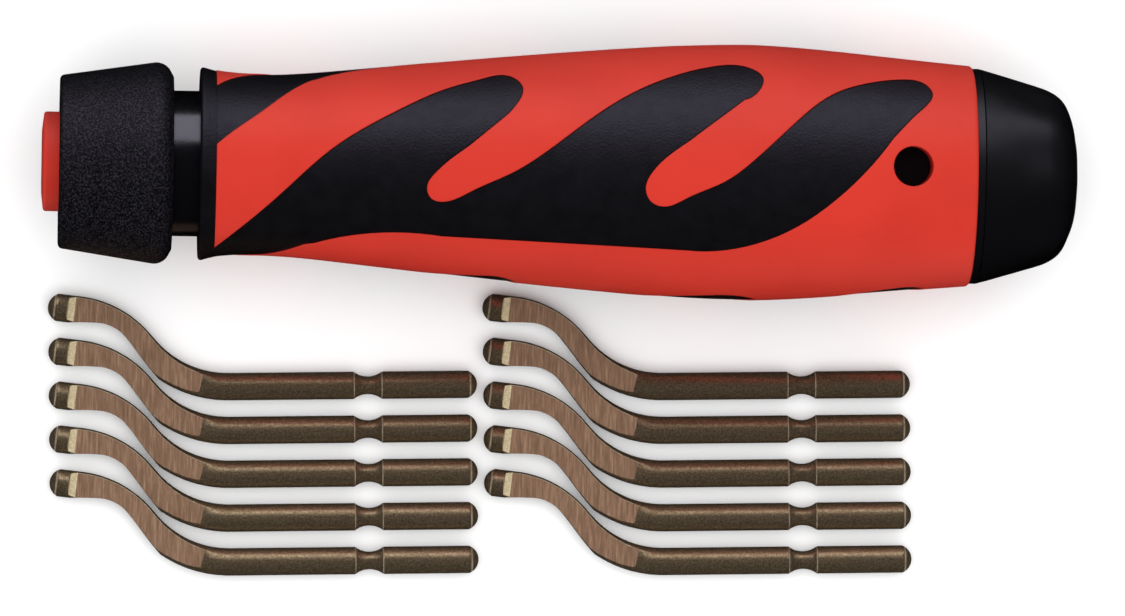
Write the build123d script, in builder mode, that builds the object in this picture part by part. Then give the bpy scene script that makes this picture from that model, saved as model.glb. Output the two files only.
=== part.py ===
from build123d import *

import os
from bisect import bisect_right
from math import atan, cos, radians, sin

# Deburring tool: a two-colour handle with a ball-lock chuck, and its ten loose blades.
# Millimetres. The tool's axis is X, from the mouth of the blade socket (the origin) towards the end cap.
# The tool lies on a bench, with +Z up. The blades lie beside it, on the -Y side.

# ---------------------------------------------------------------- driving dimensions
SHANK_RADIUS = 1.6  # the blades' standard 3.2 mm shank
TOOL_LENGTH = 119.7
MAX_RADIUS = 14.8
BENCH = -MAX_RADIUS

RUNNING_GAP = 0.05  # radial play of the blade and the balls in their holes
SLIDING_GAP = 0.1  # radial play of the collar on the neck and of the plug in the handle

# the chuck, from the mouth backwards
NOSE_RADIUS = 5.75
NOSE_DOME = 0.25
NOSE_LIP = 4.05  # where the nose bush steps out to its hidden shoulder, which holds the collar
NOSE_REAR = 5.5
NOSE_SHOULDER_RADIUS = 7.2
COLLAR_FRONT = 2.0
COLLAR_REAR = 15.1
COLLAR_TRAVEL = 2.8
NECK_RADIUS = 8.4
NECK_SPIGOT_RADIUS = 6.5
SPINDLE_RADIUS = 2.8
SPINDLE_HEAD_RADIUS = 3.6
SPINDLE_HEAD_LENGTH = 1.2
SPINDLE_END = 41.0
CLIP_FRONT = 38.0
CLIP_REAR = 38.8
CLIP_RADIUS = 4.4
CLIP_GROOVE_RADIUS = 2.3
GUIDE_LENGTH = 8.2
SOCKET_DEPTH = 23.0
RELIEF = 0.25  # the socket's radial play behind its guiding mouth
BALL_RADIUS = 1.0
BALL_STATION = 9.5
BALL_COUNT = 3
BALL_LOCKED = 2.06  # from the axis to a ball's centre when the collar is forward
RAMP_SLOPE = 0.22  # ball travel for each millimetre of collar travel
RAMP_FRONT = 5.6
RAMP_FOOT = 10.2  # where the ramp's cone ends in a short cylinder
RAMP_REAR = 11.0
NECK_FRONT = RAMP_REAR + COLLAR_TRAVEL + 0.3
RAMP_RING_RADIUS = 8.0
COLLAR_MOUTH_RADIUS = NOSE_SHOULDER_RADIUS + 0.3
SPRING_SEAT = 18.2
SPRING_POCKET_RADIUS = 4.7
SPRING_RADIUS = 3.85
SPRING_TURNS = 5
WIRE_RADIUS = 0.35
SPRING_LENGTH = SPRING_SEAT - RAMP_REAR - 2 * WIRE_RADIUS - 0.04
WASHER_THICKNESS = 0.6

# the handle
FLANGE_FRONT = 18.15
FLANGE_REAR = 20.0
BODY_REAR = 107.4
CAP_FRONT = 108.2
WEB_FRONT = 28.0
WEB_REAR = 38.0
STORE_RADIUS = 9.0
INLAY_DEPTH = 1.4
INLAY_RECESS = 0.12
PLUG_RADIUS = STORE_RADIUS - SLIDING_GAP
PLUG_FRONT = 94.0
PLUG_BOSS_RADIUS = 6.0
PLUG_BOSS_LENGTH = 5.0
CAP_SEAT_RADIUS = 12.45
CAP_CONE_END = (115.2, 10.47)
O_RING_AT = 105.0
O_RING_SECTION = 0.7
O_RING_CENTRE = STORE_RADIUS - 0.03 - O_RING_SECTION
O_RING_GROOVE = 1.35
CROSS_HOLE_AT = (99.8, 0.9)
CROSS_HOLE_RADIUS = 2.3
SIDE_PROFILE = [  # (distance from the mouth, radius) along the grip
    (FLANGE_FRONT, 11.2),
    (20.6, 10.75),
    (25.0, 10.5),
    (34.5, 11.15),
    (49.8, 12.7),
    (66.4, 14.15),
    (81.0, MAX_RADIUS),
    (94.2, 13.95),
    (BODY_REAR, 12.75),
]

# the black flames, as (distance from the mouth, angle round the axis from +Z towards +Y)
FLAME_TURNS = (0.0, 121.5, -130.0)
FLAMES_MIDDLE = 4  # the angle that the flames are drawn square to
FLAME_CURVES = [  # each curve of the outline; straight runs join one to the next
    [(19.4, -67), (23, -43), (27.5, -18), (33, 9), (40.9, 33.5), (46.4, 47), (50.5, 53.4), (53.6, 54), (55, 45),
     (54.3, 34), (53, 27)],
    [(49.1, 12), (46.8, 4.2), (45, -3.6), (44.1, -11), (44.6, -17.5), (46, -19.1), (49.2, -12.6), (53.8, -2.6),
     (57.9, 8.9), (62.3, 23.2), (67.3, 37.8), (72.6, 49.4), (77.5, 56), (80.8, 54.5), (82.6, 47), (82, 38.7),
     (80.4, 33.8)],
    [(75, 16.5), (72, 7.7), (69.9, -0.5), (69.05, -8.5), (69.7, -14.8), (71.2, -17), (73.9, -12.5), (78, -5),
     (81.4, 4.9), (86.5, 24.5), (90.6, 39.6), (95, 49), (99, 54), (101.3, 52), (102.2, 44.5), (101.4, 36.5),
     (99.7, 28.4)],
    [(97.5, 17.4), (94.3, 0.6), (90.6, -13.8), (86.9, -24.9), (80, -36.6), (74, -39.3)],
    [(46, -40.4), (37.5, -42.8), (31.4, -55)],
]
FLAME_ROOT = [
    (31.4, -55),
    (28.4, -69),
    (25, -87),
    (22.5, -98),
    (19.4, -113),
]
ROOT_INSIDE = [(19.4, -66.5), (25, -50)]
ROOT_MIDDLE = -82

# the blades
BLADE_LENGTH = 50.05
BLADE_OFFSET = 8.55  # how far its two bends carry the tip sideways
BLADE_BENDS = (11.0, 12.6)  # radii
TIP_START = (1.2, BLADE_OFFSET + 0.89)
FIRST_BEND = (7.88, BLADE_OFFSET)
SECOND_BEND = (15.3, 0)
BLADE_TURN = 1.45  # degrees; the rows of blades lie slightly askew of the handle
END_DOME = 1.1  # height of the domes that end a blade
WAIST_AT = 37.3
WAIST_RADIUS = 1.03
WAIST_LENGTH = 3.3
GRIND_HEIGHT = 0.7  # of the ground face over the rod's centre
GRIND_PROFILE = [(4.2, GRIND_HEIGHT), (10.5, GRIND_HEIGHT), (17.7, 1.15), (18.3, 1.7), (18.3, 3), (4.2, 3)]
TIP_GRIND_PROFILE = [(0.8, 1.9), (2.0, GRIND_HEIGHT), (4.9, GRIND_HEIGHT), (4.9, 3), (0.8, 3)]
RELIEF_CURVE = [  # the ground edge on the inner side of the first bend
    (1.4, 7.65),
    (3.3, 7.68),
    (5.0, 7.64),
    (6.5, 7.5),
    (7.65, 7.08),
    (8.6, 6.45),
    (9.4, 5.55),
    (10.3, 4.35),
    (11.45, 2.78),
    (12.6, 1.32),
    (13.4, 0.45),
]
BLADES_IN_ROW = 5
ROW_PITCH = 5.11
COLUMN_STEP = (50.67, 0.79)
FIRST_TIP = (1.2, -26.32)

os.makedirs("parts", exist_ok=True)


# ---------------------------------------------------------------- helpers
def finish(built, label):
    """Labels a finished piece and writes it."""
    built.part.label = label
    export_step(built.part, f"parts/{label}.step")


def turned(*corners, mode=Mode.ADD):
    """Adds a ring or disc turned about the tool's axis; corners are (distance from the mouth, radius)."""
    with BuildSketch(Plane.XY) as section:
        with BuildLine():
            Polyline(*corners, close=True)
        make_face()
    revolve(section.sketch, axis=Axis.X, mode=mode)


def tube(start, end, inner, outer, mode=Mode.ADD):
    """Adds a plain tube about the tool's axis."""
    turned((start, inner), (start, outer), (end, outer), (end, inner), mode=mode)


def side_radius(station):
    """The grip's outer radius at a distance from the mouth."""
    stations = [point[0] for point in SIDE_PROFILE]
    after = min(max(bisect_right(stations, station), 1), len(stations) - 1)
    (x0, r0), (x1, r1) = SIDE_PROFILE[after - 1], SIDE_PROFILE[after]
    return r0 + (r1 - r0) * (station - x0) / (x1 - x0)


def seen_square_to(angle, outline):
    """Projects (station, angle) points of the grip's surface on a plane square to the given angle."""
    return [(x, side_radius(x) * sin(radians(a - angle))) for x, a in outline]


def turned_body(outward, mode=Mode.ADD):
    """Adds the handle's body behind the flange, with its skin moved outward by the given amount."""
    with BuildSketch(Plane.XY) as section:
        with BuildLine():
            skin = Spline(*[(x, r + outward) for x, r in SIDE_PROFILE])
            Polyline(skin @ 0, (FLANGE_FRONT, 0), (BODY_REAR, 0), skin @ 1)
        make_face()
        with Locations((0, 0)):
            Rectangle(2 * FLANGE_REAR, 4 * MAX_RADIUS, mode=Mode.SUBTRACT)
    revolve(section.sketch, axis=Axis.X, mode=mode)


def body_of_revolution(outward):
    """The body that turned_body makes, by itself."""
    with BuildPart() as body:
        turned_body(outward)
    return body.part


def cross_hole():
    """Cuts the cross hole near the cap, straight down through both walls."""
    with BuildSketch(Plane.XY) as section:
        with Locations(CROSS_HOLE_AT):
            Circle(CROSS_HOLE_RADIUS)
    extrude(section.sketch, amount=MAX_RADIUS + 1, both=True, mode=Mode.SUBTRACT)


def ramp_radius(station):
    """The ramp ring's bore: a cone that the balls touch, opening towards the mouth."""
    at_ball = BALL_LOCKED + (BALL_RADIUS + 0.02) / cos(atan(RAMP_SLOPE))
    return at_ball - (station - BALL_STATION) * RAMP_SLOPE


def square_to(angle):
    """The plane through the tool's axis whose normal points out at an angle round the axis."""
    normal = (0, sin(radians(angle)), cos(radians(angle)))
    return Plane(origin=(0, 0, 0), x_dir=(1, 0, 0), z_dir=normal)


def flame_outline():
    """Draws the flames' outline, as they are seen square to FLAMES_MIDDLE."""
    curves = [Spline(*seen_square_to(FLAMES_MIDDLE, points)) for points in FLAME_CURVES]
    for curve, following in zip(curves, curves[1:] + curves[:1]):
        Line(curve @ 1, following @ 0)


def flame_prisms():
    """The space that the black flames take out of the skin, as prisms square to the axis."""
    with BuildPart() as prisms:
        for turn in FLAME_TURNS:
            with BuildSketch(square_to(turn + FLAMES_MIDDLE).offset(3)):
                with BuildLine():
                    flame_outline()
                make_face()
            extrude(amount=MAX_RADIUS)
            with BuildSketch(square_to(turn + ROOT_MIDDLE).offset(3)):
                with BuildLine():
                    edge = Spline(*seen_square_to(ROOT_MIDDLE, FLAME_ROOT))
                    inside = seen_square_to(ROOT_MIDDLE, ROOT_INSIDE)
                    Polyline(edge @ 1, *inside, edge @ 0)
                make_face()
            extrude(amount=MAX_RADIUS)
    return prisms.part


def ring_of_balls(angle_of_first=90):
    """The angles round the axis at which the lock balls stand."""
    return [angle_of_first + k * 360 / BALL_COUNT for k in range(BALL_COUNT)]


# ---------------------------------------------------------------- handle body: core and grip
flames = flame_prisms()

with BuildPart() as grip:
    turned_body(-INLAY_RECESS)
    add(flames, mode=Mode.INTERSECT)
    turned_body(-INLAY_DEPTH, mode=Mode.SUBTRACT)
    with BuildSketch(Plane.XY):
        with BuildLine():
            lip = Polyline((FLANGE_REAR, NECK_RADIUS), (FLANGE_FRONT, NECK_RADIUS), (FLANGE_FRONT, 10.75))
            rounding = ThreePointArc(lip @ 1, (FLANGE_FRONT + 0.12, 11.03), (FLANGE_FRONT + 0.42, 11.13))
            back = Line(rounding @ 1, (FLANGE_REAR, side_radius(FLANGE_REAR) - INLAY_RECESS))
            Line(back @ 1, lip @ 0)
        make_face()
    revolve(axis=Axis.X)
    cross_hole()
finish(grip, "grip_overmould")

flame_bed = flames - body_of_revolution(-INLAY_DEPTH)

with BuildPart() as core:
    turned_body(0)
    rear_edge = core.edges().filter_by(GeomType.CIRCLE).sort_by(Axis.X)[-1]
    fillet(rear_edge, radius=0.5)
    add(flame_bed, mode=Mode.SUBTRACT)
    tube(FLANGE_REAR, WEB_FRONT, 0, NECK_SPIGOT_RADIUS, mode=Mode.SUBTRACT)
    tube(WEB_FRONT, WEB_REAR, 0, SPINDLE_RADIUS, mode=Mode.SUBTRACT)
    tube(WEB_REAR, BODY_REAR, 0, STORE_RADIUS, mode=Mode.SUBTRACT)
    cross_hole()
finish(core, "handle_core")

with BuildPart() as neck:
    turned(
        (NECK_FRONT, SPRING_POCKET_RADIUS),
        (NECK_FRONT, NECK_RADIUS - 0.3),
        (NECK_FRONT + 0.3, NECK_RADIUS),
        (FLANGE_REAR, NECK_RADIUS),
        (FLANGE_REAR, NECK_SPIGOT_RADIUS),
        (WEB_FRONT, NECK_SPIGOT_RADIUS),
        (WEB_FRONT, SPINDLE_RADIUS),
        (SPRING_SEAT + WASHER_THICKNESS, SPINDLE_RADIUS),
        (SPRING_SEAT + WASHER_THICKNESS, SPRING_POCKET_RADIUS),
    )
finish(neck, "neck_sleeve")

# ---------------------------------------------------------------- chuck
ball_angles = ring_of_balls()

with BuildPart() as spindle:
    turned(
        (0, 0),
        (0, SPINDLE_HEAD_RADIUS),
        (SPINDLE_HEAD_LENGTH, SPINDLE_HEAD_RADIUS),
        (SPINDLE_HEAD_LENGTH, SPINDLE_RADIUS),
        (CLIP_FRONT, SPINDLE_RADIUS),
        (CLIP_FRONT, CLIP_GROOVE_RADIUS),
        (CLIP_REAR, CLIP_GROOVE_RADIUS),
        (CLIP_REAR, SPINDLE_RADIUS),
        (SPINDLE_END - 0.5, SPINDLE_RADIUS),
        (SPINDLE_END, SPINDLE_RADIUS - 0.5),
        (SPINDLE_END, 0),
    )
    tube(0, GUIDE_LENGTH, 0, SHANK_RADIUS + RUNNING_GAP, mode=Mode.SUBTRACT)
    tube(GUIDE_LENGTH, SOCKET_DEPTH, 0, SHANK_RADIUS + RELIEF, mode=Mode.SUBTRACT)
    for angle in ball_angles:
        with BuildSketch(square_to(angle)):
            with Locations((BALL_STATION, 0)):
                Circle(BALL_RADIUS + RUNNING_GAP)
        extrude(amount=SPINDLE_RADIUS + 1, mode=Mode.SUBTRACT)
finish(spindle, "chuck_spindle")

for number, angle in enumerate(ball_angles, 1):
    seat = square_to(angle)
    with BuildPart() as ball:
        with BuildSketch(Plane.XY):
            with BuildLine():
                rim = CenterArc((BALL_STATION, 0), BALL_RADIUS, 0, 180)
                Line(rim @ 1, rim @ 0)
            make_face()
        revolve(axis=Axis.X)
    ball.part = ball.part.moved(Location(seat.z_dir * BALL_LOCKED))
    finish(ball, f"lock_ball_{number}")

with BuildPart() as nose:
    turned(
        (0, SPINDLE_HEAD_RADIUS),
        (NOSE_DOME, NOSE_RADIUS),
        (NOSE_LIP, NOSE_RADIUS),
        (NOSE_LIP, NOSE_SHOULDER_RADIUS),
        (NOSE_REAR, NOSE_SHOULDER_RADIUS),
        (NOSE_REAR, SPINDLE_RADIUS),
        (SPINDLE_HEAD_LENGTH, SPINDLE_RADIUS),
        (SPINDLE_HEAD_LENGTH, SPINDLE_HEAD_RADIUS),
    )
    front_rim = nose.edges().filter_by(GeomType.CIRCLE).filter_by(lambda e: abs(e.radius - NOSE_RADIUS) < 0.01)
    fillet(front_rim.sort_by(Axis.X)[0], radius=0.35)
finish(nose, "nose_bush")

with BuildPart() as collar:
    with BuildSketch(Plane.XY):
        with BuildLine():
            front = Line((COLLAR_FRONT, COLLAR_MOUTH_RADIUS), (COLLAR_FRONT, 9.5))
            corner = ThreePointArc(front @ 1, (COLLAR_FRONT + 0.15, 9.87), (COLLAR_FRONT + 0.5, 10.05))
            cone = Line(corner @ 1, (12.8, 11.6))
            ridge = ThreePointArc(cone @ 1, (13.9, 11.45), (14.6, 10.9))
            rear = Polyline(
                ridge @ 1,
                (COLLAR_REAR, 10.0),
                (COLLAR_REAR - 0.5, NECK_RADIUS + SLIDING_GAP),
                (RAMP_REAR, NECK_RADIUS + SLIDING_GAP),
                (RAMP_REAR, RAMP_RING_RADIUS),
                (RAMP_FRONT, RAMP_RING_RADIUS),
                (RAMP_FRONT, COLLAR_MOUTH_RADIUS),
            )
            Line(rear @ 1, front @ 0)
        make_face()
    revolve(axis=Axis.X)
finish(collar, "collar")

with BuildPart() as ramp_ring:
    turned(
        (RAMP_FRONT, ramp_radius(RAMP_FRONT)),
        (RAMP_FRONT, RAMP_RING_RADIUS),
        (RAMP_REAR, RAMP_RING_RADIUS),
        (RAMP_REAR, ramp_radius(RAMP_FOOT)),
        (RAMP_FOOT, ramp_radius(RAMP_FOOT)),
    )
finish(ramp_ring, "collar_ramp_ring")

with BuildPart() as spring:
    with BuildLine():
        coil = Helix(
            pitch=SPRING_LENGTH / SPRING_TURNS,
            height=SPRING_LENGTH,
            radius=SPRING_RADIUS,
            center=(RAMP_REAR + WIRE_RADIUS + 0.02, 0, 0),
            direction=(1, 0, 0),
        )
    with BuildSketch(Plane(origin=coil @ 0, z_dir=coil % 0)):
        Circle(WIRE_RADIUS)
    sweep(is_frenet=True)
finish(spring, "collar_spring")

with BuildPart() as washer:
    tube(SPRING_SEAT, SPRING_SEAT + WASHER_THICKNESS, SPINDLE_RADIUS, SPRING_POCKET_RADIUS)
finish(washer, "spring_seat_washer")

with BuildPart() as clip:
    tube(CLIP_FRONT, CLIP_REAR, CLIP_GROOVE_RADIUS, CLIP_RADIUS)
    with BuildSketch(Plane.YZ.offset(CLIP_FRONT)):
        with Locations((0, CLIP_RADIUS)):
            Rectangle(CLIP_GROOVE_RADIUS, 2 * CLIP_RADIUS)
    extrude(amount=CLIP_REAR - CLIP_FRONT, mode=Mode.SUBTRACT)
finish(clip, "spindle_clip")

# ---------------------------------------------------------------- end cap
with BuildPart() as rear_ring:
    tube(BODY_REAR, CAP_FRONT, PLUG_RADIUS + 0.25, CAP_SEAT_RADIUS)
finish(rear_ring, "rear_ring")

with BuildPart() as cap:
    with BuildSketch(Plane.XY):
        with BuildLine():
            seat = Line((CAP_FRONT, 0), (CAP_FRONT, CAP_SEAT_RADIUS - 0.2))
            Polyline(seat @ 1, (CAP_FRONT + 0.15, CAP_SEAT_RADIUS - 0.04), CAP_CONE_END)
            dome = Spline(
                CAP_CONE_END,
                (117.4, 9.42),
                (118.6, 7.8),
                (119.35, 5.4),
                (TOOL_LENGTH, 0),
                tangents=[(7, -1.94), (0, -1)],
            )
            Line(dome @ 1, seat @ 0)
        make_face()
    revolve(axis=Axis.X)
    tube(CAP_FRONT, CAP_FRONT + PLUG_BOSS_LENGTH, 0, PLUG_BOSS_RADIUS, mode=Mode.SUBTRACT)
finish(cap, "end_cap")

with BuildPart() as plug:
    turned(
        (PLUG_FRONT, 0),
        (PLUG_FRONT, PLUG_RADIUS - 0.6),
        (PLUG_FRONT + 0.6, PLUG_RADIUS),
        (O_RING_AT - 0.8, PLUG_RADIUS),
        (O_RING_AT - 0.8, PLUG_RADIUS - O_RING_GROOVE),
        (O_RING_AT + 0.8, PLUG_RADIUS - O_RING_GROOVE),
        (O_RING_AT + 0.8, PLUG_RADIUS),
        (CAP_FRONT, PLUG_RADIUS),
        (CAP_FRONT, PLUG_BOSS_RADIUS),
        (CAP_FRONT + PLUG_BOSS_LENGTH, PLUG_BOSS_RADIUS),
        (CAP_FRONT + PLUG_BOSS_LENGTH, 0),
    )
finish(plug, "cap_plug")

with BuildPart() as o_ring:
    with BuildSketch(Plane.XY):
        with Locations((O_RING_AT, O_RING_CENTRE)):
            Circle(O_RING_SECTION)
    revolve(axis=Axis.X)
finish(o_ring, "cap_o_ring")


# ---------------------------------------------------------------- blades
def blade_plane(row, column):
    """A blade's own plane: X along its shank from the tip's end, at the height of its centre line."""
    turn = radians(BLADE_TURN)
    along = (cos(turn), sin(turn), 0)
    x = FIRST_TIP[0] + column * COLUMN_STEP[0] + row * ROW_PITCH * sin(turn)
    y = FIRST_TIP[1] + column * COLUMN_STEP[1] - row * ROW_PITCH * cos(turn)
    return Plane(origin=(x, y, BENCH + SHANK_RADIUS), x_dir=along, z_dir=(0, 0, 1))


def tip_plane(lying):
    """The plane of a blade's tip: X along the tip from the foot of its dome."""
    start = lying.from_local_coords(TIP_START)
    along = lying.from_local_coords(FIRST_BEND) - start
    return Plane(origin=start, x_dir=along, z_dir=(0, 0, 1))


def dome_end(place):
    """Adds the dome that ends a blade, on the -X side of the given plane's origin."""
    with BuildSketch(place) as half:
        with BuildLine():
            dome = ThreePointArc((0, SHANK_RADIUS), (-0.73 * END_DOME, 0.607 * SHANK_RADIUS), (-END_DOME, 0))
            Polyline(dome @ 1, (0, 0), dome @ 0)
        make_face()
    revolve(half.sketch, axis=Axis(place.origin, place.x_dir))


def build_blade(lying):
    """A double-bent rod with domed ends, a waist for the chuck's balls and a ground face on top."""
    tip = tip_plane(lying)
    end = lying.from_local_coords((BLADE_LENGTH - END_DOME, 0))
    with BuildPart() as blade:
        with BuildLine(lying) as path:
            corners = (TIP_START, FIRST_BEND, SECOND_BEND, (BLADE_LENGTH - END_DOME, 0))
            FilletPolyline(*corners, radius=BLADE_BENDS)
        with BuildSketch(Plane(origin=path.line @ 0, z_dir=path.line % 0)) as section:
            Circle(SHANK_RADIUS)
        sweep(section.sketch, path=path.line)
        dome_end(tip)
        dome_end(Plane(origin=end, x_dir=-lying.x_dir, z_dir=(0, 0, -1)))

        # the waist
        with BuildSketch(lying) as waist:
            with BuildLine():
                half = WAIST_LENGTH / 2
                top = SHANK_RADIUS + 0.5
                front, rear = WAIST_AT - half, WAIST_AT + half
                hollow = ThreePointArc((front, SHANK_RADIUS), (WAIST_AT, WAIST_RADIUS), (rear, SHANK_RADIUS))
                Polyline(hollow @ 1, (rear, top), (front, top), hollow @ 0)
            make_face()
        revolve(waist.sketch, axis=Axis(lying.origin, lying.x_dir), mode=Mode.SUBTRACT)

        # the ground face over the bends, its run-out at the tip and the relief of its edge
        with BuildSketch(Plane(origin=lying.origin, x_dir=lying.x_dir, z_dir=-lying.y_dir)) as grind:
            with BuildLine():
                Polyline(*GRIND_PROFILE, close=True)
            make_face()
        extrude(grind.sketch, amount=2 * BLADE_OFFSET, both=True, mode=Mode.SUBTRACT)
        with BuildSketch(Plane(origin=tip.origin, x_dir=tip.x_dir, z_dir=-tip.y_dir)) as run_out:
            with BuildLine():
                Polyline(*TIP_GRIND_PROFILE, close=True)
            make_face()
        extrude(run_out.sketch, amount=BLADE_OFFSET / 4, both=True, mode=Mode.SUBTRACT)
        with BuildSketch(lying) as relief:
            with BuildLine():
                edge = Spline(*RELIEF_CURVE)
                Polyline(edge @ 1, (0, 0), edge @ 0)
            make_face()
        extrude(relief.sketch, amount=2 * SHANK_RADIUS, both=True, mode=Mode.SUBTRACT)
    return blade


for column in range(2):
    for row in range(BLADES_IN_ROW):
        blade = build_blade(blade_plane(row, column))
        finish(blade, f"blade_{column * BLADES_IN_ROW + row + 1}")
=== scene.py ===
"""Looks of the deburring tool and its ten loose blades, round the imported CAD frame."""

import math

import bpy
import numpy as np
from mathutils import Matrix, Vector


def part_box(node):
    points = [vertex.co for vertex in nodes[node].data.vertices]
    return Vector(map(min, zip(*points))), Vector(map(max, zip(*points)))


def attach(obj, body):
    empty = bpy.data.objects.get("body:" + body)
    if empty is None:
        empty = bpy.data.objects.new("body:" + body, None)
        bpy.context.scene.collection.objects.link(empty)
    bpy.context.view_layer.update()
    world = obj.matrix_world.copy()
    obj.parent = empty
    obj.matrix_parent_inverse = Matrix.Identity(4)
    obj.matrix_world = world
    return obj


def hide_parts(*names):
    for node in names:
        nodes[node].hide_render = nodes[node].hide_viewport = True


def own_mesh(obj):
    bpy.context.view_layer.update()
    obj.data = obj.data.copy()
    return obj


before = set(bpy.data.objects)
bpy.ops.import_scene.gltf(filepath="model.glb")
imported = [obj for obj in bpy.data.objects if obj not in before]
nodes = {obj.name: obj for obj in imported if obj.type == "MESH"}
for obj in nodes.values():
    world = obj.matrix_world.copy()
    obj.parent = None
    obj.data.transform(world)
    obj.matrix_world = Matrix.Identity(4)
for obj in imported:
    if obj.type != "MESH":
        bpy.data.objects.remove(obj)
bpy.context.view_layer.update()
MM = 0.001
BLADES = [f"blade_{n}" for n in range(1, 11)]
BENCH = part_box("blade_1")[0].z


# ---------------------------------------------------------------- helpers: meshes
def corners_of(node):
    """The low and high corners of a CAD node's box, in millimetres."""
    return [np.array(corner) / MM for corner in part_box(node)]


def add_mesh(name, points, faces, materials, body, replaced, face_materials=None, sharp=35):
    mesh = bpy.data.meshes.new(name)
    mesh.from_pydata([tuple(np.asarray(p) * MM) for p in points], [], faces)
    for material in materials:
        mesh.materials.append(material)
    if face_materials is not None:
        mesh.polygons.foreach_set("material_index", face_materials)
    mesh.polygons.foreach_set("use_smooth", [True] * len(mesh.polygons))
    mesh.set_sharp_from_angle(angle=math.radians(sharp))
    mesh.validate()
    mesh.update()
    thing = bpy.data.objects.new(name, mesh)
    bpy.context.scene.collection.objects.link(thing)
    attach(thing, body)
    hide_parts(*replaced)
    return thing


def tube_faces(rows, columns):
    """Quads over rows of points, each row a closed ring of so many columns."""
    faces = []
    for row in range(rows - 1):
        for column in range(columns):
            after = (column + 1) % columns
            here = row * columns
            faces.append((here + column, here + columns + column, here + columns + after, here + after))
    return faces


def smooth_line(points, per_span):
    """A curve through points, after Catmull and Rom."""
    points = [np.array(p, float) for p in points]
    padded = [2 * points[0] - points[1], *points, 2 * points[-1] - points[-2]]
    line = []
    for before, start, end, after in zip(padded, padded[1:], padded[2:], padded[3:]):
        for step in range(per_span):
            t = step / per_span
            line.append(0.5 * (2 * start + (end - before) * t
                               + (2 * before - 5 * start + 4 * end - after) * t * t
                               + (3 * start - before - 3 * end + after) * t ** 3))
    line.append(points[-1])
    return np.array(line)


# ---------------------------------------------------------------- helpers: materials
class Shader:
    """A material with a principled shader, and short ways to add nodes to it."""

    def __init__(self, name, color, roughness, metallic=0.0, specular=0.5):
        self.material = bpy.data.materials.new(name)
        self.material.use_nodes = True
        self.tree = self.material.node_tree
        self.shader = self.tree.nodes["Principled BSDF"]
        self.set("Base Color", (*color, 1))
        self.set("Roughness", roughness)
        self.set("Metallic", metallic)
        self.set("Specular IOR Level", specular)
        self.position = self.tree.nodes.new("ShaderNodeTexCoord").outputs["Object"]

    def set(self, socket, value):
        self.shader.inputs[socket].default_value = value

    def link(self, output, socket):
        self.tree.links.new(output, self.shader.inputs[socket])

    def stretched(self, scale):
        """The object's coordinates multiplied by a number along each axis."""
        node = self.tree.nodes.new("ShaderNodeMapping")
        node.inputs["Scale"].default_value = scale
        self.tree.links.new(self.position, node.inputs["Vector"])
        return node.outputs["Vector"]

    def noise(self, scale, detail=2.0, rough=0.5, vector=None):
        node = self.tree.nodes.new("ShaderNodeTexNoise")
        node.inputs["Scale"].default_value = scale
        node.inputs["Detail"].default_value = detail
        node.inputs["Roughness"].default_value = rough
        self.tree.links.new(vector or self.position, node.inputs["Vector"])
        return node.outputs["Fac"]

    def ramp(self, factor, *stops):
        """A colour ramp; each stop is (place, colour or grey)."""
        node = self.tree.nodes.new("ShaderNodeValToRGB")
        band = node.color_ramp
        while len(band.elements) < len(stops):
            band.elements.new(0.5)
        for element, (place, value) in zip(band.elements, stops):
            element.position = place
            element.color = (*value, 1) if isinstance(value, tuple) else (value, value, value, 1)
        self.tree.links.new(factor, node.inputs["Fac"])
        return node.outputs["Color"]

    def soft_edges(self, radius):
        """Normals that round the edges off, by a radius in millimetres."""
        node = self.tree.nodes.new("ShaderNodeBevel")
        node.samples = 6
        node.inputs["Radius"].default_value = radius * MM
        return node.outputs["Normal"]

    def bump(self, height, distance, under=None):
        """Bumps as high as a distance in millimetres, on top of the normals under them."""
        node = self.tree.nodes.new("ShaderNodeBump")
        node.inputs["Distance"].default_value = distance * MM
        node.inputs["Strength"].default_value = 1
        self.tree.links.new(height, node.inputs["Height"])
        if under is not None:
            self.tree.links.new(under, node.inputs["Normal"])
        self.link(node.outputs["Normal"], "Normal")


# ---------------------------------------------------------------- materials
EDGE_SOFTNESS = 0.3


def red_plastic():
    look = Shader("red_plastic", (0.525, 0.027, 0.015), 0.42, specular=0.17)
    cloud = look.noise(90, 3)
    look.link(look.ramp(cloud, (0.3, (0.5, 0.025, 0.014)), (0.7, (0.55, 0.029, 0.016))), "Base Color")
    look.link(look.ramp(look.noise(700, 3), (0.3, 0.4), (0.7, 0.47)), "Roughness")
    look.bump(look.noise(3200, 2), 0.01, under=look.soft_edges(EDGE_SOFTNESS))
    return look.material


def black_rubber_grip():
    look = Shader("black_grip", (0.002, 0.0019, 0.0023), 0.46, specular=0.42)
    look.set("Specular Tint", (0.8, 0.73, 1.0, 1))
    cloud = look.noise(500, 3)
    look.link(look.ramp(cloud, (0.3, (0.003, 0.0029, 0.0033)), (0.7, (0.0045, 0.0042, 0.005))), "Base Color")
    look.link(look.ramp(look.noise(900, 3), (0.3, 0.43), (0.7, 0.5)), "Roughness")
    look.bump(look.noise(3600, 2), 0.05, under=look.soft_edges(EDGE_SOFTNESS))
    return look.material


def textured_black():
    look = Shader("textured_black", (0.003, 0.0028, 0.0035), 0.42, specular=0.25)
    look.set("Specular Tint", (0.84, 0.78, 1.0, 1))
    grain = look.noise(4200, 2, 0.6)
    look.link(look.ramp(grain, (0.4, 0.55), (0.62, 0.34)), "Roughness")
    look.link(look.ramp(grain, (0.45, (0.002, 0.0018, 0.0022)), (0.68, (0.02, 0.018, 0.024))), "Base Color")
    look.bump(grain, 0.12)
    return look.material


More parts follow.
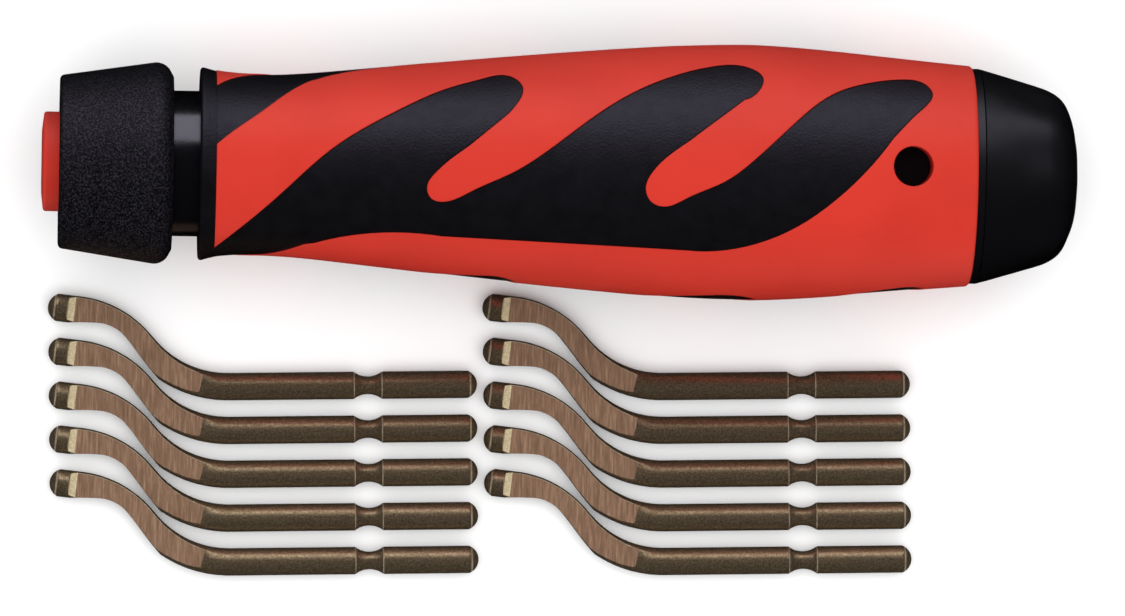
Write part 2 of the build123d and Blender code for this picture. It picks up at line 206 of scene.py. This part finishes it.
def smooth_black(name, roughness, specular):
    look = Shader(name, (0.003, 0.0028, 0.0036), roughness, specular=specular)
    look.set("Specular Tint", (0.86, 0.83, 1.0, 1))
    look.link(look.ramp(look.noise(600, 4), (0.3, roughness - 0.03), (0.7, roughness + 0.04)), "Roughness")
    look.bump(look.noise(3200, 2), 0.006)
    return look.material


def bright_steel():
    look = Shader("bright_steel", (0.55, 0.54, 0.53), 0.28, metallic=1)
    look.link(look.ramp(look.noise(300, 4), (0.3, 0.22), (0.7, 0.38)), "Roughness")
    look.bump(look.noise(900, 3, vector=look.stretched((12, 1, 1))), 0.01)
    return look.material


def blade_rod():
    look = Shader("blade_rod", (0.34, 0.25, 0.155), 0.4, metallic=0.88)
    dark, plain, light = (0.23, 0.163, 0.095), (0.34, 0.25, 0.155), (0.49, 0.38, 0.25)
    mottle = look.noise(4300, 4, 0.6)
    look.link(look.ramp(mottle, (0.34, dark), (0.5, plain), (0.66, light)), "Base Color")
    look.link(look.ramp(look.noise(1100, 4), (0.3, 0.34), (0.7, 0.46)), "Roughness")
    drawn = look.noise(2600, 2, vector=look.stretched((0.3, 1, 1)))
    look.bump(drawn, 0.015)
    return look.material


def ground_face():
    look = Shader("ground_face", (0.22, 0.128, 0.08), 0.4, metallic=0.25)
    dark, plain, light = (0.15, 0.084, 0.048), (0.22, 0.124, 0.073), (0.34, 0.21, 0.132)
    lines = look.noise(1500, 3, 0.7, vector=look.stretched((3.0, 0.22, 1)))
    look.link(look.ramp(lines, (0.3, dark), (0.5, plain), (0.72, light)), "Base Color")
    look.link(look.ramp(lines, (0.3, 0.36), (0.7, 0.5)), "Roughness")
    look.bump(lines, 0.02)
    return look.material


# Painted highlight: a pale colour for thin bands at the blade's edges, standing in for the light that the
# edges catch.
def painted_edge_highlight():
    look = Shader("painted_edge_highlight", (0.34, 0.27, 0.185), 0.4, metallic=0.4)
    dark, light = (0.25, 0.19, 0.125), (0.44, 0.36, 0.255)
    look.link(look.ramp(look.noise(1500, 3), (0.3, dark), (0.7, light)), "Base Color")
    return look.material


# Painted highlight with grain: the pale colour stands in for the light that the ramp at the tip reflects;
# the speckle is its grain.
def speckled_run_out_highlight():
    look = Shader("speckled_run_out_highlight", (0.5, 0.42, 0.26), 0.7, specular=0.2)
    dark, plain, light = (0.34, 0.275, 0.165), (0.46, 0.385, 0.24), (0.6, 0.52, 0.35)
    speckle = look.noise(4200, 3, 0.7)
    look.link(look.ramp(speckle, (0.3, dark), (0.5, plain), (0.7, light)), "Base Color")
    look.bump(speckle, 0.03)
    return look.material


def pale_floor():
    look = Shader("pale_floor", (0.96, 0.96, 0.96), 0.9, specular=0.1)
    look.link(look.ramp(look.noise(30, 2), (0.3, 0.955), (0.7, 0.965)), "Base Color")
    return look.material


RED = red_plastic()
GRIP = black_rubber_grip()
TEXTURED = textured_black()
GLOSSY = smooth_black("glossy_black", 0.2, 1.0)
CAP_BLACK = smooth_black("cap_black", 0.42, 0.5)
RUBBER = smooth_black("rubber_ring", 0.6, 0.15)
STEEL = bright_steel()
BLADE_LOOKS = [blade_rod(), ground_face(), painted_edge_highlight(), speckled_run_out_highlight()]


# ---------------------------------------------------------------- the CAD nodes that stay
def dress(node, material):
    """Gives a CAD node one of the materials."""
    thing = nodes[node]
    if not thing.material_slots:
        thing.data.materials.append(material)
    for slot in thing.material_slots:
        slot.material = material


for node, material in {
    "handle_core": RED,
    "grip_overmould": GRIP,
    "neck_sleeve": GLOSSY,
    "chuck_spindle": STEEL,
    "nose_bush": RED,
    "collar": TEXTURED,
    "collar_ramp_ring": STEEL,
    "spring_seat_washer": STEEL,
    "spindle_clip": STEEL,
    "rear_ring": CAP_BLACK,
    "cap_plug": RUBBER,
    "cap_o_ring": RUBBER,
    "lock_ball_1": STEEL,
    "lock_ball_2": STEEL,
    "lock_ball_3": STEEL,
}.items():
    dress(node, material)


# ---------------------------------------------------------------- blades
SHANK = 1.6
END_DOME = 1.1
DOME_RINGS = 9
BLADE_LENGTH = 50.05
BLADE_TURN = 1.45
CORNERS = [(1.2, 9.44), (7.88, 8.55), (15.3, 0.0), (BLADE_LENGTH - END_DOME, 0.0)]
BENDS = [11.0, 12.6]
BEND_STEPS = 48
WAIST_AT, WAIST_HALF, WAIST_RADIUS = 37.3, 1.65, 1.03

# The ground face: its height over the centre line, by distance from the tip's dome and then by x.
FACE_HEIGHT = 0.7
TIP_RISE = ([1.0, 1.12, 1.24, 2.0], [1.9, SHANK, 0.98, FACE_HEIGHT])
TAIL_RISE = ([10.5, 17.2, 17.85, 18.2, 18.35, 18.4], [FACE_HEIGHT, 1.1, 1.2, 1.4, SHANK, 1.9])
TIP_RISE_END = 4
RUN_OUT_END = 2.0

# The ground relief cuts the inner side of the bends back to this line.
RELIEF = [(1.4, 7.65), (3.3, 7.68), (5.0, 7.64), (6.5, 7.5), (7.65, 7.08), (8.6, 6.45), (9.4, 5.55),
          (10.3, 4.35), (11.45, 2.78), (12.6, 1.32), (13.4, 0.45)]
RELIEF_END = 22

TOP_POINTS = 44
SIDE_POINTS = 44
LOWEST = math.asin(FACE_HEIGHT / SHANK)
# Half width of the pale bands painted as highlights along the waist's rims.
HIGHLIGHT_HALF_WIDTH = 0.07
# The blade's looks: the rod, the ground face, a painted edge highlight, and the ramp at the tip painted pale
# for the light it reflects.
PLAIN, GROUND, EDGE_HIGHLIGHT, RAMP_HIGHLIGHT = range(4)


def section_angles():
    """Angles of a section's points round the rod: the arc over the ground face, then the rest."""
    top = np.linspace(LOWEST, math.pi - LOWEST, TOP_POINTS)
    side = np.linspace(math.pi - LOWEST, 2 * math.pi + LOWEST, SIDE_POINTS + 2)[1:-1]
    return np.concatenate([top, side])


ANGLES = section_angles()
COUNT = len(ANGLES)


def rounded_corner(before, corner, after, radius):
    """Points of the arc that rounds one corner of the centre line."""
    way_in = (before - corner) / np.linalg.norm(before - corner)
    way_out = (after - corner) / np.linalg.norm(after - corner)
    half = math.acos(float(way_in @ way_out)) / 2
    centre = corner + (way_in + way_out) / np.linalg.norm(way_in + way_out) * radius / math.sin(half)
    start = corner + way_in * radius / math.tan(half)
    end = corner + way_out * radius / math.tan(half)
    first = math.atan2(*(start - centre)[::-1])
    sweep = (math.atan2(*(end - centre)[::-1]) - first + math.pi) % (2 * math.pi) - math.pi
    turns = [first + sweep * step / BEND_STEPS for step in range(BEND_STEPS + 1)]
    return [centre + radius * np.array([math.cos(turn), math.sin(turn)]) for turn in turns]


def blade_path():
    """Points of a blade's centre line, with both bends rounded, and each point's distance along it."""
    corners = [np.array(c) for c in CORNERS]
    line = [corners[0]]
    for before, corner, after, radius in zip(corners, corners[1:], corners[2:], BENDS):
        line += rounded_corner(before, corner, after, radius)
    line.append(corners[-1])
    line = np.array(line)
    along = np.concatenate([[0], np.cumsum(np.linalg.norm(np.diff(line, axis=0), axis=1))])
    return line, along


def stations_along(length):
    """Where a blade's sections stand: close together over its details, far apart on its plain shank."""
    stretches = [(0, 3, 0.08), (3, 14, 0.22), (14, 19.5, 0.16), (19.5, 36, 0.9), (36, 41.5, 0.12),
                 (41.5, length, 1.0)]
    places = []
    for start, end, step in stretches:
        count = max(1, round((end - start) / step))
        places += [start + (end - start) * k / count for k in range(count)]
    return places + [length]


def face_height(x, distance):
    """Height of the ground face over the centre line, at a station's x and distance along the blade."""
    if distance < TIP_RISE_END:
        return float(np.interp(distance, *TIP_RISE))
    return float(np.interp(x, *TAIL_RISE))


def waisted_radius(x):
    """The rod's radius at a station's x; the waist is a groove with a round bottom."""
    off_waist = abs(x - WAIST_AT)
    if off_waist >= WAIST_HALF:
        return SHANK
    depth = SHANK - WAIST_RADIUS
    hollow = (WAIST_HALF ** 2 + depth ** 2) / (2 * depth)
    return WAIST_RADIUS + hollow - math.sqrt(hollow ** 2 - off_waist ** 2)


def relief_reach(relief, middle, way, left):
    """How far the section reaches on the side that the relief cuts back."""
    offsets = relief - middle
    level = offsets @ way
    crossing = np.nonzero(np.diff(np.sign(level)))[0]
    if len(crossing) == 0:
        return SHANK
    k = crossing[0]
    share = level[k] / (level[k] - level[k + 1])
    return min(SHANK, -float(((1 - share) * offsets[k] + share * offsets[k + 1]) @ left))


def blade_section(place, line, along, relief):
    """The points of one section, and the height of the ground face there."""
    def point_at(distance):
        return np.array([float(np.interp(distance, along, line[:, k])) for k in (0, 1)])

    middle = point_at(place)
    way = point_at(min(place + 0.05, along[-1])) - point_at(max(place - 0.05, 0))
    way /= np.linalg.norm(way)
    left = np.array([-way[1], way[0]])
    radius = waisted_radius(middle[0])
    height = face_height(middle[0], place)
    reach = relief_reach(relief, middle, way, left) if place < RELIEF_END else SHANK
    across = radius * np.cos(ANGLES)
    up = np.minimum(radius * np.sin(ANGLES), height)
    edge = radius * math.cos(LOWEST)
    if reach < edge:
        top = across[:TOP_POINTS]
        across[:TOP_POINTS] = np.where(top < 0, top * reach / edge, top)
    across = np.maximum(across, -reach)
    return [(*(middle + left * a), u) for a, u in zip(across, up)], height


def face_kind(row, column, points, places, heights):
    """Which of the blade's looks the quad at a row and column of the rod has; two of them are painted
    highlights.
    """
    middle = (points[row * COUNT][0] + points[(row + 1) * COUNT][0]) / 2
    # The waist's rims get a thin band of painted highlight.
    plain = EDGE_HIGHLIGHT if abs(abs(middle - WAIST_AT) - WAIST_HALF) < HIGHLIGHT_HALF_WIDTH else PLAIN
    low, high = sorted((heights[row], heights[row + 1]))
    if high >= SHANK or column >= TOP_POINTS - 1:
        return plain
    corners = [(r, c) for r in (0, 1) for c in (0, 1)]
    level = max(points[(row + r) * COUNT + column + c][2] for r, c in corners)
    flattened = all(SHANK * math.sin(ANGLES[column + c]) > heights[row + r] - 0.02 for r, c in corners)
    if not flattened or level > high + 1e-6:
        return plain
    # The ramp at the tip is painted pale for the light it reflects.
    if places[row] < RUN_OUT_END:
        return RAMP_HIGHLIGHT
    # The ground face's edges get a thin band of painted highlight.
    at_edge = column == 0 or SHANK * math.sin(ANGLES[column - 1]) <= low
    return EDGE_HIGHLIGHT if at_edge else GROUND


def add_dome(points, faces, kinds, row, corner, way, sign):
    """Closes one end of a blade with a dome; sign is -1 at the tip and 1 at the tail."""
    dome_radius = (SHANK ** 2 + END_DOME ** 2) / (2 * END_DOME)
    widest = math.asin(SHANK / dome_radius)
    left = np.array([-way[1], way[0]])
    previous = [row * COUNT + k for k in range(COUNT)]
    for ring in range(1, DOME_RINGS):
        turn = widest * (1 - ring / DOME_RINGS)
        radius = dome_radius * math.sin(turn)
        middle = corner + sign * (dome_radius * math.cos(turn) - dome_radius * math.cos(widest)) * way
        current = [len(points) + k for k in range(COUNT)]
        for angle in ANGLES:
            points.append((*(middle + left * (radius * math.cos(angle))), radius * math.sin(angle)))
        for k in range(COUNT):
            after = (k + 1) % COUNT
            quad = (previous[k], previous[after], current[after], current[k])
            faces.append(quad if sign < 0 else quad[::-1])
            # The dome's second ring, near its crease, is painted pale as a highlight.
            kinds.append(EDGE_HIGHLIGHT if ring == 2 else PLAIN)
        previous = current
    pole = len(points)
    points.append((*(corner + sign * END_DOME * way), 0.0))
    for k in range(COUNT):
        triangle = (previous[k], previous[(k + 1) % COUNT], pole)
        faces.append(triangle if sign < 0 else triangle[::-1])
        kinds.append(PLAIN)


def blade_mesh():
    """Points, faces and each face's look for one blade, in its own plane."""
    line, along = blade_path()
    relief = smooth_line(RELIEF, 12)
    places = stations_along(along[-1])
    points = []
    heights = []
    for place in places:
        section, height = blade_section(place, line, along, relief)
        points += section
        heights.append(height)
    last_row = len(places) - 1
    faces = tube_faces(len(places), COUNT)
    kinds = [face_kind(row, column, points, places, heights)
             for row in range(last_row) for column in range(COUNT)]
    tip, bend, tail = (np.array(CORNERS[k]) for k in (0, 1, -1))
    add_dome(points, faces, kinds, 0, tip, (bend - tip) / np.linalg.norm(bend - tip), -1)
    add_dome(points, faces, kinds, last_row, tail, np.array([1.0, 0.0]), 1)
    return np.array(points), faces, kinds


def turned_points(points, degrees):
    turn = math.radians(degrees)
    x = points[:, 0] * math.cos(turn) - points[:, 1] * math.sin(turn)
    y = points[:, 0] * math.sin(turn) + points[:, 1] * math.cos(turn)
    return np.column_stack([x, y, points[:, 2]])


def build_blades():
    """Ten copies of one blade, each with its low corner where its CAD node has it."""
    points, faces, kinds = blade_mesh()
    points = turned_points(points, BLADE_TURN)
    points -= points.min(axis=0)
    for name in BLADES:
        low, _ = corners_of(name)
        add_mesh(f"bent_{name}", points + low, faces, BLADE_LOOKS, name, [name],
                 kinds, sharp=25)


build_blades()


# ---------------------------------------------------------------- collar spring
SPRING_TURNS, SPRING_RADIUS, WIRE_RADIUS = 5, 3.85, 0.35
STEPS_PER_TURN, WIRE_SIDES = 40, 12


def build_spring():
    """The coil behind the collar's ramp ring, drawn at one fixed length; the real coil shortens as the
    collar comes back.
    """
    low, high = corners_of("collar_spring")
    start, length = low[0] + WIRE_RADIUS, high[0] - low[0] - 2 * WIRE_RADIUS
    steps = SPRING_TURNS * STEPS_PER_TURN
    rise = length / (2 * math.pi * SPRING_TURNS * SPRING_RADIUS)
    points = []
    for step in range(steps + 1):
        angle = 2 * math.pi * SPRING_TURNS * step / steps
        out = np.array([0, math.cos(angle), math.sin(angle)])
        along = np.array([rise, -math.sin(angle), math.cos(angle)])
        across = np.cross(along / np.linalg.norm(along), out)
        centre = out * SPRING_RADIUS + np.array([start + length * step / steps, 0, 0])
        for side in range(WIRE_SIDES):
            turn = 2 * math.pi * side / WIRE_SIDES
            points.append(centre + WIRE_RADIUS * (math.cos(turn) * out + math.sin(turn) * across))
    faces = tube_faces(steps + 1, WIRE_SIDES)
    faces.append(tuple(range(WIRE_SIDES)))
    faces.append(tuple(steps * WIRE_SIDES + side for side in reversed(range(WIRE_SIDES))))
    coil = add_mesh("coil_spring", points, faces, [STEEL], "handle", ["collar_spring"])
    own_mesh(coil)


build_spring()


# ---------------------------------------------------------------- end cap
CAP_FRONT = 108.2
POCKET_DEPTH, POCKET_RADIUS = 5.0, 6.0
CAP_POCKET = [(POCKET_DEPTH, 0.0), (POCKET_DEPTH, POCKET_RADIUS), (0.0, POCKET_RADIUS)]
CAP_SEAM = (0.0, 12.21)
CAP_SKIN = [(0.15, 12.41), (2.4, 11.787), (4.7, 11.15), (7.0, 10.47), (8.2, 10.02), (9.2, 9.42),
            (9.9, 8.7), (10.4, 7.8), (10.85, 6.6), (11.15, 5.4), (11.38, 3.8), (11.47, 2.2), (11.5, 0.0)]
SCALLOPS, SCALLOP_DEPTH, SCALLOP_TURN = 8, 0.36, 13
SCALLOP_START, SCALLOP_FULL, SCALLOP_FADE_RADIUS = 1.0, 7.0, 8.0
CAP_COLUMNS = 160


def hollow_share(x, radius):
    """How much of their depth the hollows have at a point of the outline: none in the pocket."""
    if x <= POCKET_DEPTH and radius <= POCKET_RADIUS:
        return 0.0
    rise = (x - SCALLOP_START) / (SCALLOP_FULL - SCALLOP_START)
    share = min(1.0, max(0.0, rise)) * min(1.0, radius / SCALLOP_FADE_RADIUS)
    return share * share * (3 - 2 * share)


def build_cap():
    """The end cap, whose sides have soft hollows for the fingers."""
    profile = [*CAP_POCKET, CAP_SEAM, *smooth_line(CAP_SKIN, 5)]
    rings = profile[1:-1]
    points = []
    for x, radius in rings:
        depth = SCALLOP_DEPTH * hollow_share(x, radius)
        for column in range(CAP_COLUMNS):
            angle = 2 * math.pi * column / CAP_COLUMNS
            hollow = 0.5 + 0.5 * math.cos(SCALLOPS * (angle - math.radians(SCALLOP_TURN)))
            r = radius - depth * hollow
            points.append((CAP_FRONT + x, r * math.sin(angle), r * math.cos(angle)))
    faces = tube_faces(len(rings), CAP_COLUMNS)
    for pole_x, row, flip in ((profile[0][0], 0, True), (profile[-1][0], len(rings) - 1, False)):
        pole = len(points)
        points.append((CAP_FRONT + pole_x, 0, 0))
        for column in range(CAP_COLUMNS):
            pair = (row * CAP_COLUMNS + column, row * CAP_COLUMNS + (column + 1) % CAP_COLUMNS)
            faces.append((*(pair[::-1] if flip else pair), pole))
    add_mesh("scalloped_cap", points, faces, [CAP_BLACK], "cap", ["end_cap"], sharp=30)


build_cap()


# ---------------------------------------------------------------- stage
FLOOR_SIZE = 4
LIGHT_AIM = (0.06, 0, 0)
KEY_PLACE, KEY_SIZE, KEY_POWER = (0.06, 0.86, 0.52), (1.6, 0.9), 8
TOP_PLACE, TOP_SIZE, TOP_POWER = (0.06, 0, 1.2), (1.8, 1.8), 15.5
SURROUND_STRENGTH = 0.76

CAMERA_PLACE, CAMERA_AIM, CAMERA_ROLL = (-0.005, -0.015, 1.3), (0.06043, -0.01599, 0), 0.9
WIDTH_SEEN = 0.13006
SENSOR_WIDTH = 36


def area_light(name, place, size, power):
    light = bpy.data.lights.new(name, "AREA")
    light.shape = "RECTANGLE"
    light.size, light.size_y = size
    light.energy = power
    lamp = bpy.data.objects.new(name, light)
    lamp.location = place
    lamp.rotation_euler = (Vector(LIGHT_AIM) - Vector(place)).to_track_quat("-Z", "Y").to_euler()
    bpy.context.scene.collection.objects.link(lamp)
    return lamp


def build_floor():
    bpy.ops.mesh.primitive_grid_add(x_subdivisions=4, y_subdivisions=4, size=FLOOR_SIZE,
                                    location=(0.06, -0.02, BENCH))
    floor = bpy.context.object
    floor.name = "floor"
    floor.data.materials.append(pale_floor())
    floor.visible_glossy = False


def build_lights():
    """A light at the side that only makes highlights, a soft one above, and plain white surroundings."""
    key = area_light("key", KEY_PLACE, KEY_SIZE, KEY_POWER)
    key.visible_diffuse = False
    soft = area_light("soft_top", TOP_PLACE, TOP_SIZE, TOP_POWER)
    soft.visible_glossy = False
    world = bpy.data.worlds.new("studio")
    bpy.context.scene.world = world
    world.use_nodes = True
    world.cycles_visibility.glossy = False
    backdrop = world.node_tree.nodes["Background"]
    backdrop.inputs["Color"].default_value = (1, 1, 1, 1)
    backdrop.inputs["Strength"].default_value = SURROUND_STRENGTH


def build_camera():
    """Almost straight above, a little to the side of the mouth, and turned by about a degree."""
    place = Vector(CAMERA_PLACE)
    aim = Vector(CAMERA_AIM)
    roll = math.radians(CAMERA_ROLL)
    backward = (place - aim).normalized()
    right = Vector((math.cos(roll), math.sin(roll), 0))
    right = (right - right.dot(backward) * backward).normalized()
    up = backward.cross(right)
    lens = bpy.data.cameras.new("camera")
    lens.sensor_width = SENSOR_WIDTH
    lens.lens = SENSOR_WIDTH * (place - aim).length / WIDTH_SEEN
    lens.clip_end = 10
    eye = bpy.data.objects.new("camera", lens)
    eye.matrix_world = Matrix((*zip(right, up, backward, place), (0, 0, 0, 1)))
    bpy.context.scene.collection.objects.link(eye)
    bpy.context.scene.camera = eye


build_floor()
build_lights()
build_camera()
bpy.context.scene.view_settings.view_transform = "Standard"
